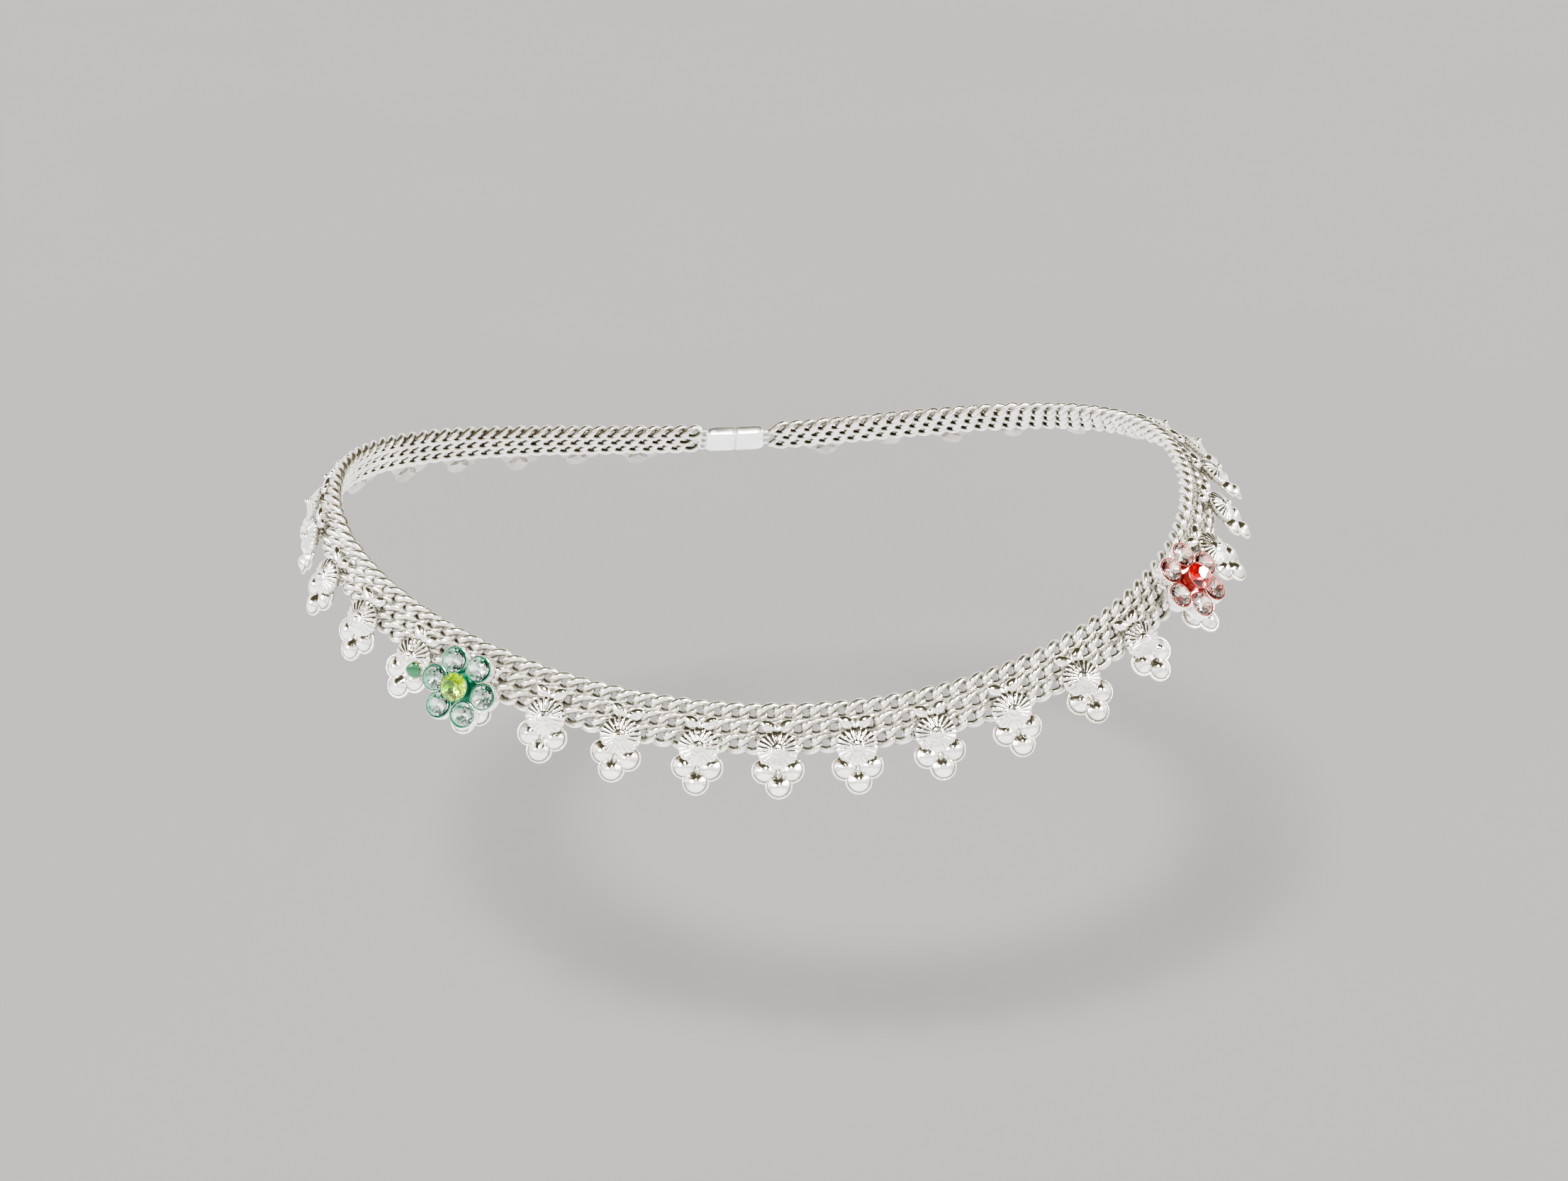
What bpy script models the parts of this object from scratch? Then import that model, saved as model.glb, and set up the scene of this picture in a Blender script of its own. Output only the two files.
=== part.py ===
"""Payal anklet: a woven band of curb links with stamped motifs and two stone flowers.

The band is a whole loop held in its worn form. The loop's frame is:
+X from heel to instep, -Y the side that faces the viewer, +Z up.
The origin is the middle of the loop at the mean height of the band's top edge.
Every piece is placed on the band by its length along the loop, its drop below
the top edge and its height over the band's middle surface.
"""

import math
from bisect import bisect_left

import bmesh
import bpy
from mathutils import Matrix, Vector

MM = 0.001

# Loop, measured along the band's top edge
HEEL_TO_INSTEP = 94.0 * MM
SIDE_TO_SIDE = 69.4 * MM
OVAL_FULLNESS = 2.2
INSTEP_FLARE = 0.08
SIDE_SAG = 10.6 * MM
LEAN_SIDE = math.radians(35.0)
LEAN_INSTEP = math.radians(51.0)
LEAN_HEEL = math.radians(25.0)

# Pattern along the loop
PITCH_COUNT = 36
MOTIF_COUNT = 34
PATTERN_SHIFT = -0.8 * MM
GREEN_MOTIF = 13
RED_MOTIF = 23
DOT_MOTIF = 12

# Band of three rows of curb links, as one solid with its true outer shape
BAND_HEIGHT = 5.3 * MM
BAND_THICKNESS = 1.5 * MM
ROW_COUNT = 3
VALLEY_SHARE = 0.5
STATIONS_PER_PITCH = 1.75

# Plain clasp on the hidden side
CLASP_LENGTH = 9.0 * MM
CLASP_HEIGHT = 4.0 * MM
CLASP_THICKNESS = 1.8 * MM

# Clearance between neighbouring pieces
GAP = 0.3 * MM

# Stamped motif: fluted cap with a boss, a trefoil of domes below, two leaves above
CAP_RADIUS = 2.1 * MM
CAP_RIM_HEIGHT = 0.7 * MM
CAP_RISE = 0.65 * MM
CAP_ABOVE_EDGE = 0.4 * MM
FLUTE_COUNT = 9
FLUTE_DEPTH = 0.1
BOSS_RADIUS = 0.45 * MM
BOSS_RISE = 0.4 * MM
BOSS_SIDES = 6
LOBE_RADIUS = 1.35 * MM
LOBE_RISE = 0.95 * MM
LOBE_SIDES = 10
FLANGE_THICKNESS = 0.4 * MM
PAIR_SPREAD = 0.94
PAIR_TUCK = 0.08
TIP_STEP = 1.1
LEAF_LENGTH = 1.9 * MM
LEAF_WIDTH = 0.95 * MM
LEAF_THICKNESS = 0.6 * MM
LEAF_SPREAD = math.radians(38.0)
LEAF_SIDES = 8

# Stone flowers
PETAL_COUNT = 6
PETAL_STONE_RADIUS = 1.25 * MM
PETAL_STONE_HEIGHT = 0.8 * MM
CENTRE_STONE_RADIUS = 1.5 * MM
CENTRE_STONE_HEIGHT = 1.1 * MM
STONE_SIDES = 10
TABLE_SHARE = 0.55
GIRDLE_SHARE = 0.4
PLATE_RIM = 0.25 * MM
PLATE_THICKNESS = 0.6 * MM
PLATE_ARC_STEPS = 5
POST_SHARE = 0.6
POST_SIDES = 10

GREEN_ACROSS = -0.8 * MM
GREEN_DROP = 5.0 * MM
GREEN_TURN = math.radians(2.0)
RED_ACROSS = -0.3 * MM
RED_DROP = 3.7 * MM
RED_TURN = math.radians(1.0)

# Painted dot on the cap beside the green flower
DOT_RADIUS = 0.9 * MM
DOT_THICKNESS = 0.3 * MM
DOT_REACH = 0.68
DOT_TURN = math.radians(-44.0)
DOT_SIDES = 10

LOOP_SAMPLES = 720
SAME_POINT = 0.001 * MM


def loop_point(turn):
    """Point of the band's top edge; turn 0 is the instep and -90 degrees the near side."""
    cosine = math.cos(turn)
    sine = math.sin(turn)
    power = abs(cosine) ** OVAL_FULLNESS + abs(sine) ** OVAL_FULLNESS
    reach = power ** (-1.0 / OVAL_FULLNESS)
    x = HEEL_TO_INSTEP / 2 * reach * cosine
    y = SIDE_TO_SIDE / 2 * reach * sine * (1 + INSTEP_FLARE * reach * cosine)
    z = SIDE_SAG / 2 * math.cos(2 * turn)
    return Vector((x, y, z))


def lean_at(turn):
    """How far the band's face leans back from upright."""
    toward_instep = max(math.cos(turn), 0.0) ** 2
    toward_heel = max(-math.cos(turn), 0.0) ** 2
    lean = LEAN_SIDE
    lean += (LEAN_INSTEP - LEAN_SIDE) * toward_instep
    lean += (LEAN_HEEL - LEAN_SIDE) * toward_heel
    return lean


def measure_loop():
    """Turns and the lengths run from the heel to each of them."""
    turns = [-math.pi + 2 * math.pi * i / LOOP_SAMPLES for i in range(LOOP_SAMPLES + 1)]
    lengths = [0.0]
    for before, after in zip(turns, turns[1:]):
        lengths.append(lengths[-1] + (loop_point(after) - loop_point(before)).length)
    return turns, lengths


TURNS, LENGTHS = measure_loop()
LOOP_LENGTH = LENGTHS[-1]
PITCH = LOOP_LENGTH / PITCH_COUNT
MOTIF_SEAT = BAND_THICKNESS / 2 + GAP
CAP_DROP = BAND_HEIGHT - CAP_ABOVE_EDGE


def turn_at(length):
    """Turn at a length along the loop, wrapped past the heel."""
    wrapped = length % LOOP_LENGTH
    index = min(max(bisect_left(LENGTHS, wrapped), 1), LOOP_SAMPLES)
    before, after = LENGTHS[index - 1], LENGTHS[index]
    share = (wrapped - before) / (after - before)
    return TURNS[index - 1] + share * (TURNS[index] - TURNS[index - 1])


def band_frame(length):
    """Top-edge point and the directions along, up and out of the band's face."""
    turn = turn_at(length)
    step = 0.001
    along = (loop_point(turn + step) - loop_point(turn - step)).normalized()
    sideways = along.cross(Vector((0, 0, 1))).normalized()
    upright = sideways.cross(along).normalized()
    lean = lean_at(turn)
    up = upright * math.cos(lean) - sideways * math.sin(lean)
    out = along.cross(up)
    return loop_point(turn), along, up, out


def motif_length(number):
    """Length along the loop of a motif's middle; the clasp lies between last and first."""
    middle = LOOP_LENGTH / 4 + PATTERN_SHIFT
    return middle + (number - MOTIF_COUNT / 2) * PITCH


def clasp_middle():
    """Length along the loop of the clasp's middle."""
    return motif_length(0.5) - (PITCH_COUNT - MOTIF_COUNT) / 2 * PITCH


def place_on_band(item, length, across, drop, height, spin=0.0, tip=None):
    """Set an object on the band: local X along, local Y up, local Z out of the face."""
    edge, along, up, out = band_frame(length)
    turned = Matrix((along, up, out)).transposed().to_4x4()
    turned = turned @ Matrix.Rotation(spin, 4, "Z")
    if tip is not None:
        turned = turned @ tip
    middle = edge + along * across - up * drop + out * height
    item.matrix_world = Matrix.Translation(middle) @ turned


def clear_scene():
    """Remove what the scene holds."""
    for item in list(bpy.data.objects):
        bpy.data.objects.remove(item, do_unlink=True)


def collection_named(name):
    """A collection under the scene."""
    group = bpy.data.collections.new(name)
    bpy.context.scene.collection.children.link(group)
    return group


def finish(name, colour, metallic, roughness, transmission=0.0):
    """A Principled material."""
    material = bpy.data.materials.new(name)
    material.use_nodes = True
    shader = material.node_tree.nodes["Principled BSDF"]
    shader.inputs["Base Color"].default_value = (*colour, 1.0)
    shader.inputs["Metallic"].default_value = metallic
    shader.inputs["Roughness"].default_value = roughness
    shader.inputs["Transmission Weight"].default_value = transmission
    material.diffuse_color = (*colour, 1.0)
    return material


def add_object(group, name, mesh):
    """An object in the group."""
    item = bpy.data.objects.new(name, mesh)
    group.objects.link(item)
    return item


def bake(item):
    """The object's evaluated mesh, clean and closed; the object is removed."""
    bpy.context.view_layer.update()
    graph = bpy.context.evaluated_depsgraph_get()
    mesh = bpy.data.meshes.new_from_object(item.evaluated_get(graph))
    bpy.data.objects.remove(item, do_unlink=True)
    shape = bmesh.new()
    shape.from_mesh(mesh)
    bmesh.ops.remove_doubles(shape, verts=shape.verts, dist=SAME_POINT)
    bmesh.ops.recalc_face_normals(shape, faces=shape.faces)
    shape.to_mesh(mesh)
    shape.free()
    return mesh


def turned(group, name, profile, sides):
    """A profile of (radius, height), top to bottom, turned about Z."""
    mesh = bpy.data.meshes.new(name)
    points = [(radius, 0.0, height) for radius, height in profile]
    edges = [(i, i + 1) for i in range(len(points) - 1)]
    mesh.from_pydata(points, edges, [])
    item = add_object(group, name, mesh)
    screw = item.modifiers.new("turn", "SCREW")
    screw.axis = "Z"
    screw.angle = 2 * math.pi
    screw.steps = sides
    screw.render_steps = sides
    screw.use_merge_vertices = True
    screw.merge_threshold = SAME_POINT
    return add_object(group, name, bake(item))


def united(name, base, others):
    """One mesh of the base and the others, which are removed; flat faces are joined."""
    joined = bpy.data.collections.new("joined")
    for other in others:
        joined.objects.link(other)
    union = base.modifiers.new("join", "BOOLEAN")
    union.operation = "UNION"
    union.solver = "EXACT"
    union.operand_type = "COLLECTION"
    union.collection = joined
    mesh = bake(base)
    mesh.name = name
    for other in others:
        bpy.data.objects.remove(other, do_unlink=True)
    bpy.data.collections.remove(joined)
    shape = bmesh.new()
    shape.from_mesh(mesh)
    bmesh.ops.dissolve_limit(
        shape,
        angle_limit=math.radians(0.5),
        verts=shape.verts,
        edges=shape.edges,
    )
    shape.to_mesh(mesh)
    shape.free()
    return mesh


def shade(mesh, material, angle=40.0):
    """Smooth shading with sharp edges, and the material."""
    mesh.materials.clear()
    mesh.materials.append(material)
    mesh.shade_smooth()
    mesh.set_sharp_from_angle(angle=math.radians(angle))


def band_section():
    """Section of the band as (drop, height): one bulge a row, outer side then inner side."""
    row_height = BAND_HEIGHT / ROW_COUNT
    outer = []
    for row in range(ROW_COUNT):
        for share, bulge in ((0.08, VALLEY_SHARE), (0.5, 1.0), (0.92, VALLEY_SHARE)):
            outer.append(((row + share) * row_height, bulge * BAND_THICKNESS / 2))
    inner = [(drop, -height) for drop, height in reversed(outer)]
    return outer + inner


def clasp_section():
    """Section of the clasp as (drop, height): a flat bar with eased corners."""
    top = (BAND_HEIGHT - CLASP_HEIGHT) / 2
    ease = CLASP_THICKNESS / 4
    half = CLASP_THICKNESS / 2
    outer = [(top, half - ease), (top + ease, half)]
    outer += [(top + CLASP_HEIGHT - ease, half), (top + CLASP_HEIGHT, half - ease)]
    inner = [(drop, -height) for drop, height in reversed(outer)]
    return outer + inner


def swept(group, name, section, start, end, stations):
    """A section carried along the loop from start to end, with closed ends."""
    shape = bmesh.new()
    rings = []
    for i in range(stations + 1):
        edge, along, up, out = band_frame(start + (end - start) * i / stations)
        rings.append([shape.verts.new(edge - up * drop + out * height) for drop, height in section])
    count = len(section)
    for before, after in zip(rings, rings[1:]):
        for i in range(count):
            j = (i + 1) % count
            shape.faces.new((before[i], before[j], after[j], after[i]))
    shape.faces.new(rings[0])
    shape.faces.new(rings[-1])
    bmesh.ops.recalc_face_normals(shape, faces=shape.faces)
    mesh = bpy.data.meshes.new(name)
    shape.to_mesh(mesh)
    shape.free()
    return add_object(group, name, mesh)


def fluted_cap(group):
    """The motif's cap: a low cone whose rim is drawn in between the flutes."""
    top = CAP_RIM_HEIGHT + CAP_RISE
    profile = [(0.0, top), (CAP_RADIUS, CAP_RIM_HEIGHT), (CAP_RADIUS, 0.0), (0.0, 0.0)]
    cap = turned(group, "cap", profile, 2 * FLUTE_COUNT)
    for point in cap.data.vertices:
        reach = math.hypot(point.co.x, point.co.y)
        if reach < CAP_RADIUS - SAME_POINT:
            continue
        side = round(math.atan2(point.co.y, point.co.x) * FLUTE_COUNT / math.pi)
        if side % 2:
            point.co.x *= 1 - FLUTE_DEPTH
            point.co.y *= 1 - FLUTE_DEPTH
    return cap


def boss(group):
    """The small boss on the cap."""
    top = CAP_RIM_HEIGHT + CAP_RISE
    profile = [(0.0, top + BOSS_RISE), (BOSS_RADIUS * 0.6, top + BOSS_RISE * 0.8)]
    profile += [(BOSS_RADIUS * 0.9, top - BOSS_RISE * 0.5), (0.0, top - BOSS_RISE * 0.5)]
    return turned(group, "boss", profile, BOSS_SIDES)


def lobe(group, name, across, up):
    """One dome of the trefoil, down to its flange."""
    profile = [(0.0, LOBE_RISE), (LOBE_RADIUS * 0.6, LOBE_RISE * 0.8)]
    profile += [(LOBE_RADIUS, FLANGE_THICKNESS), (LOBE_RADIUS, 0.0), (0.0, 0.0)]
    item = turned(group, name, profile, LOBE_SIDES)
    item.location = (across, up, 0.0)
    return item


def leaf(group, name, side):
    """One of the two small leaves above the cap: a low oval cone."""
    profile = [(0.0, LEAF_THICKNESS), (LEAF_LENGTH / 2, 0.0), (0.0, 0.0)]
    item = turned(group, name, profile, LEAF_SIDES)
    item.data.transform(Matrix.Diagonal((1.0, LEAF_WIDTH / LEAF_LENGTH, 1.0, 1.0)))
    reach = CAP_RADIUS + LEAF_WIDTH * 0.35
    across = side * LEAF_LENGTH * 0.4
    item.location = (across, reach, 0.0)
    item.rotation_euler = (0.0, 0.0, side * LEAF_SPREAD)
    return item


def motif_mesh(group):
    """The whole stamping as one solid, seen from its cap's middle, with its back at Z 0."""
    spread = LOBE_RADIUS * PAIR_SPREAD
    pair = -(CAP_RADIUS - LOBE_RADIUS * PAIR_TUCK)
    tip = pair - LOBE_RADIUS * TIP_STEP
    others = [
        boss(group),
        lobe(group, "lobe left", -spread, pair),
        lobe(group, "lobe right", spread, pair),
        lobe(group, "lobe tip", 0.0, tip),
        leaf(group, "leaf left", -1),
        leaf(group, "leaf right", 1),
    ]
    return united("motif", fluted_cap(group), others)


def stone(group, name, radius, height):
    """A round cut stone with a table, crown facets, a girdle and a flat back."""
    girdle = height * GIRDLE_SHARE
    profile = [(0.0, height), (radius * TABLE_SHARE, height)]
    profile += [(radius, girdle), (radius * 0.85, 0.0), (0.0, 0.0)]
    return turned(group, name, profile, STONE_SIDES)


def petal_ring():
    """Radius of the ring that the petal stones stand on, a gap apart."""
    return (2 * PETAL_STONE_RADIUS + GAP) / (2 * math.sin(math.pi / PETAL_COUNT))


def post_height():
    """Height of the centre stone's post, which lifts it over the petal stones."""
    return PLATE_THICKNESS + GAP + PETAL_STONE_HEIGHT


def plate_outline():
    """Outline of the plate: an arc round each petal stone."""
    ring = petal_ring()
    radius = PETAL_STONE_RADIUS + PLATE_RIM
    points = []
    for petal in range(PETAL_COUNT):
        for step in range(PLATE_ARC_STEPS):
            share = (step + 0.5) / PLATE_ARC_STEPS - 0.5
            offset = share * 2 * math.pi / PETAL_COUNT
            inside = max(radius ** 2 - (ring * math.sin(offset)) ** 2, 0.0)
            reach = ring * math.cos(offset) + math.sqrt(inside)
            angle = petal * 2 * math.pi / PETAL_COUNT + offset
            points.append((reach * math.cos(angle), reach * math.sin(angle)))
    return points


def flower_plate(group, name):
    """Six-lobed plate with the post of its centre stone, back at Z 0."""
    curve = bpy.data.curves.new(name, "CURVE")
    curve.dimensions = "2D"
    curve.fill_mode = "BOTH"
    curve.extrude = PLATE_THICKNESS / 2
    spline = curve.splines.new("POLY")
    points = plate_outline()
    spline.points.add(len(points) - 1)
    for point, (x, y) in zip(spline.points, points):
        point.co = (x, y, 0.0, 1.0)
    spline.use_cyclic_u = True
    plate = add_object(group, name, bake(add_object(group, name, curve)))
    plate.data.transform(Matrix.Translation((0, 0, PLATE_THICKNESS / 2)))
    radius = CENTRE_STONE_RADIUS * POST_SHARE
    profile = [(0.0, post_height()), (radius, post_height())]
    profile += [(radius, PLATE_THICKNESS / 2), (0.0, PLATE_THICKNESS / 2)]
    post = turned(group, "post", profile, POST_SIDES)
    return add_object(group, name, united(name, plate, [post]))


def flower(group, colour, length, across, drop, turn, enamel, clear, gem):
    """A plate, six petal stones and a raised centre stone, over a motif's boss."""
    seat = MOTIF_SEAT + CAP_RIM_HEIGHT + CAP_RISE + BOSS_RISE + GAP
    plate = flower_plate(group, colour + "_flower_plate")
    shade(plate.data, enamel, 30.0)
    place_on_band(plate, length, across, drop, seat, turn)
    for petal in range(PETAL_COUNT):
        angle = turn + petal * 2 * math.pi / PETAL_COUNT
        reach = petal_ring()
        item = stone(
            group,
            colour + "_petal_stone_" + str(petal + 1),
            PETAL_STONE_RADIUS,
            PETAL_STONE_HEIGHT,
        )
        shade(item.data, clear, 5.0)
        side = across + reach * math.cos(angle)
        down = drop - reach * math.sin(angle)
        place_on_band(item, length, 0.0, 0.0, 0.0, angle)
        edge, along, up, out = band_frame(length)
        height = seat + PLATE_THICKNESS + GAP
        item.location = edge + along * side - up * down + out * height
    centre = stone(group, colour + "_centre_stone", CENTRE_STONE_RADIUS, CENTRE_STONE_HEIGHT)
    shade(centre.data, gem, 5.0)
    place_on_band(centre, length, across, drop, seat + post_height() + GAP, turn)


def painted_dot(group, paint):
    """An oval dot of colour that lies on the slope of a cap."""
    profile = [(0.0, DOT_THICKNESS), (DOT_RADIUS * 0.8, DOT_THICKNESS * 0.8)]
    profile += [(DOT_RADIUS, 0.0), (0.0, 0.0)]
    dot = turned(group, "green_dot", profile, DOT_SIDES)
    shade(dot.data, paint)
    slope = math.atan2(CAP_RISE, CAP_RADIUS - BOSS_RADIUS)
    reach = CAP_RADIUS * DOT_REACH
    surface = CAP_RIM_HEIGHT + (CAP_RADIUS - reach) * math.tan(slope)
    lift = GAP / math.cos(slope) + DOT_RADIUS * 0.1
    across = reach * math.cos(DOT_TURN)
    drop = CAP_DROP - reach * math.sin(DOT_TURN)
    tip = Matrix.Rotation(slope, 4, "Y")
    height = MOTIF_SEAT + surface + lift
    place_on_band(dot, motif_length(DOT_MOTIF), across, drop, height, DOT_TURN, tip)


def build():
    """Make every piece of the anklet."""
    clear_scene()
    group = collection_named("payal_anklet")
    silver = finish("polished_silver", (0.93, 0.93, 0.91), 1.0, 0.16)
    clasp_silver = finish("clasp_silver", (0.88, 0.88, 0.87), 1.0, 0.22)
    green_enamel = finish("green_enamel", (0.02, 0.32, 0.16), 0.3, 0.15)
    red_enamel = finish("red_enamel", (0.55, 0.10, 0.07), 0.3, 0.15)
    dot_paint = finish("dot_enamel", (0.02, 0.22, 0.08), 0.0, 0.3)
    clear_glass = finish("clear_glass", (0.95, 0.97, 0.96), 0.0, 0.02, 0.9)
    green_glass = finish("yellow_green_glass", (0.35, 0.60, 0.03), 0.0, 0.02, 0.6)
    red_glass = finish("red_glass", (0.80, 0.02, 0.02), 0.0, 0.02, 0.6)

    open_half = CLASP_LENGTH / 2 + GAP
    start = clasp_middle() + open_half
    end = clasp_middle() + LOOP_LENGTH - open_half
    stations = round(PITCH_COUNT * STATIONS_PER_PITCH)
    band = swept(group, "chain_band", band_section(), start, end, stations)
    shade(band.data, silver)

    start = clasp_middle() - CLASP_LENGTH / 2
    clasp = swept(group, "clasp", clasp_section(), start, start + CLASP_LENGTH, 4)
    shade(clasp.data, clasp_silver)

    mesh = motif_mesh(group)
    shade(mesh, silver, 35.0)
    for number in range(1, MOTIF_COUNT + 1):
        item = add_object(group, "motif_" + str(number).zfill(2), mesh)
        place_on_band(item, motif_length(number), 0.0, CAP_DROP, MOTIF_SEAT)

    flower(
        group,
        "green",
        motif_length(GREEN_MOTIF),
        GREEN_ACROSS,
        GREEN_DROP,
        GREEN_TURN,
        green_enamel,
        clear_glass,
        green_glass,
    )
    flower(
        group,
        "red",
        motif_length(RED_MOTIF),
        RED_ACROSS,
        RED_DROP,
        RED_TURN,
        red_enamel,
        clear_glass,
        red_glass,
    )
    painted_dot(group, dot_paint)


build()
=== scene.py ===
import math
import random
from bisect import bisect_left

import bpy
import numpy as np
from mathutils import Matrix, Vector


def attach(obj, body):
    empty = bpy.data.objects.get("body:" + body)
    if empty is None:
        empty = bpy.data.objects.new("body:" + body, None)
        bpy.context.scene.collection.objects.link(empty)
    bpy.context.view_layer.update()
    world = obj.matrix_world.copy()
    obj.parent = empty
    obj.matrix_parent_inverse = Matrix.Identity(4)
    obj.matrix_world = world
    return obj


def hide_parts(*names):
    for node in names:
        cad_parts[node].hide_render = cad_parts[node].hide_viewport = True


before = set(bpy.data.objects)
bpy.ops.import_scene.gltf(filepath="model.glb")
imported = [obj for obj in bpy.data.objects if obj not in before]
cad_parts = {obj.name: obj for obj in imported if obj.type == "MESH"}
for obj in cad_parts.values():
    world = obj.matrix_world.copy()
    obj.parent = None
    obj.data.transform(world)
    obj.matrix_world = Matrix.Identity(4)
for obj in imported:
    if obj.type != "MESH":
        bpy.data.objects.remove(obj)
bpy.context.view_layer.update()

MM = 0.001

# Loop, as in the solids
HEEL_TO_INSTEP = 94.0 * MM
SIDE_TO_SIDE = 69.4 * MM
OVAL_FULLNESS = 2.2
INSTEP_FLARE = 0.08
SIDE_SAG = 10.6 * MM
LEAN_SIDE = math.radians(35.0)
LEAN_INSTEP = math.radians(51.0)
LEAN_HEEL = math.radians(25.0)
PITCH_COUNT = 36
MOTIF_COUNT = 34
PATTERN_SHIFT = -0.8 * MM
BAND_HEIGHT = 5.3 * MM
BAND_THICKNESS = 1.5 * MM
CLASP_LENGTH = 9.0 * MM
GAP = 0.3 * MM
LOOP_SAMPLES = 720

# Motif, as in the solids
CAP_RADIUS = 2.1 * MM
CAP_RIM_HEIGHT = 0.7 * MM
CAP_RISE = 0.65 * MM
CAP_ABOVE_EDGE = 0.4 * MM
BOSS_RISE = 0.4 * MM
BOSS_RADIUS = 0.45 * MM
LOBE_RADIUS = 1.35 * MM
PAIR_SPREAD = 0.94
PAIR_TUCK = 0.08
TIP_STEP = 1.1

# Flowers, as in the solids
PETAL_COUNT = 6
PETAL_STONE_RADIUS = 1.25 * MM
GREEN_MOTIF = 13
GREEN_ACROSS = -0.8 * MM
GREEN_DROP = 5.0 * MM
GREEN_TURN = math.radians(2.0)
RED_MOTIF = 23
RED_ACROSS = -0.3 * MM
RED_DROP = 3.7 * MM
RED_TURN = math.radians(1.0)
DOT_MOTIF = 12
DOT_REACH = 0.68
DOT_TURN = math.radians(-44.0)

# Finer shape of the stamping, with the cap's rows as shares of its radius
CAP_APEX_DROP = 0.1 * MM
CAP_SQUASH = 0.93
CAP_FLUTES = 20
CAP_SIDES = 8 * CAP_FLUTES
CAP_ROWS = (0.24, 0.30, 0.38, 0.48, 0.60, 0.72, 0.84, 0.93, 0.985, 1.0)
CAP_SKIRT = ((0.985, 0.2 * MM), (0.93, 0.0))
CAP_RIM_BEND = 0.9 * MM
CAP_RIM_NOTCH = 0.045
FLUTE_DEPTH = 0.075 * MM
DOME_ROWS = 11
DOME_SIDES = 36
DOME_REACH = 1.16
DOME_RISE = 0.66
DOME_EDGE = 0.28
LEAF_ROWS = 6
LEAF_SIDES = 24
LEAF_EDGE = 0.12
LEAF_RISE = 0.44
LEAF_HALF_LENGTH = 1.04 * MM
LEAF_HALF_WIDTH = 0.62 * MM
LEAF_ACROSS = 0.80 * MM
LEAF_ABOVE_CAP = 0.30 * MM
LEAF_TURN = math.radians(34.0)
POST_REACH = 0.9 * MM

# Curb links
LINK_PITCH = 1.76 * MM
LINK_REACH = 1.25 * MM
LINK_HALF_WIDTH = 0.74 * MM
LINK_WIRE = 0.77 * MM
LINK_TWIST = math.radians(-52.0)
LINK_TILT = math.radians(9.0)
LINK_ROLL = math.radians(16.0)
LINK_SEGMENTS = 28
LINK_SIDES = 10
LINK_HEIGHT = 0.08 * MM
# Painted shade on a link starts the first distance out from its middle and is full the second
# distance further back
LINK_SHADE_TOP = 0.16 * MM
LINK_SHADE_FADE = 0.40 * MM
ROW_STEP = 1.56 * MM

# How far a link strays from its place, in mm and in degrees
STRAY_OUT = 0.02
STRAY_DROP = 0.025
STRAY_SPIN = 1.6
STRAY_ROLL = 2.0

# Clasp
CLASP_STATIONS = 28
CLASP_SIDES = 24
CLASP_ENDS = 1.6 * MM
CLASP_HALF_HEIGHT = 1.95 * MM
CLASP_HALF_DEPTH = 0.85 * MM
CLASP_SEAM = 0.93
CLASP_SEAM_SHARE = 0.02
CLASP_EASE_STATIONS = 4
CLASP_RING_STEP = 1.35 * MM
CLASP_RING_INSET = 0.55 * MM
CLASP_RING_TURN = math.radians(35.0)

# Finer shape of the flowers
SCALLOP_STEPS = 144
SCALLOP_MARGIN = 0.25
WALL_SIDES = 40
CUP_SIDES = 48
FOIL_RADIUS = 1.2 * MM

# Depths of the finest relief
DENT_DEPTH = 0.0002
GRAIN_DEPTH = 0.00001
ENAMEL_RIPPLE = 0.00005

# Stage
FLOOR_HALF_SIDE = 4.0
FLOOR_LEVEL = -0.055
PANEL_SIDE = 0.35
PANEL_ENERGY = 3.0
ROOM_DARK_SIDE = (0.04, 0.22, 0.97)
ROOM_STRENGTH = 1.9
ROOM_FAR = (1.15, 1.15, 1.20)
ROOM_TONES = (
    (0.30, (1.30, 1.30, 1.31)),
    (0.44, (0.62, 0.61, 0.58)),
    (0.52, (0.90, 0.89, 0.87)),
    (0.64, (1.15, 1.13, 1.09)),
    (0.745, (0.95, 0.93, 0.87)),
    (0.81, (0.34, 0.30, 0.21)),
    (0.865, (0.06, 0.05, 0.03)),
)
ROOM_NEAR = (0.04, 0.033, 0.018)

# Camera
IMAGE_WIDTH = 2212.0
FOCAL_PIXELS = 3040.0
SENSOR_WIDTH = 36.0
CAMERA_ELEVATION = math.radians(28.04)
CAMERA_AZIMUTH = math.radians(-2.75)
CAMERA_ROLL = math.radians(-0.3)
CAMERA_DISTANCE = 246.4 * MM
CAMERA_RIGHT = 2.64 * MM
CAMERA_UP = -9.6 * MM


def clamp(value):
    """The value, held between 0 and 1."""
    return min(max(value, 0.0), 1.0)


def loop_point(turn):
    """Point of the band's top edge."""
    cosine = math.cos(turn)
    sine = math.sin(turn)
    power = abs(cosine) ** OVAL_FULLNESS + abs(sine) ** OVAL_FULLNESS
    reach = power ** (-1.0 / OVAL_FULLNESS)
    x = HEEL_TO_INSTEP / 2 * reach * cosine
    y = SIDE_TO_SIDE / 2 * reach * sine * (1 + INSTEP_FLARE * reach * cosine)
    z = SIDE_SAG / 2 * math.cos(2 * turn)
    return Vector((x, y, z))


def lean_at(turn):
    """How far the band's face leans back from upright."""
    toward_instep = max(math.cos(turn), 0.0) ** 2
    toward_heel = max(-math.cos(turn), 0.0) ** 2
    lean = LEAN_SIDE
    lean += (LEAN_INSTEP - LEAN_SIDE) * toward_instep
    lean += (LEAN_HEEL - LEAN_SIDE) * toward_heel
    return lean


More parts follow.
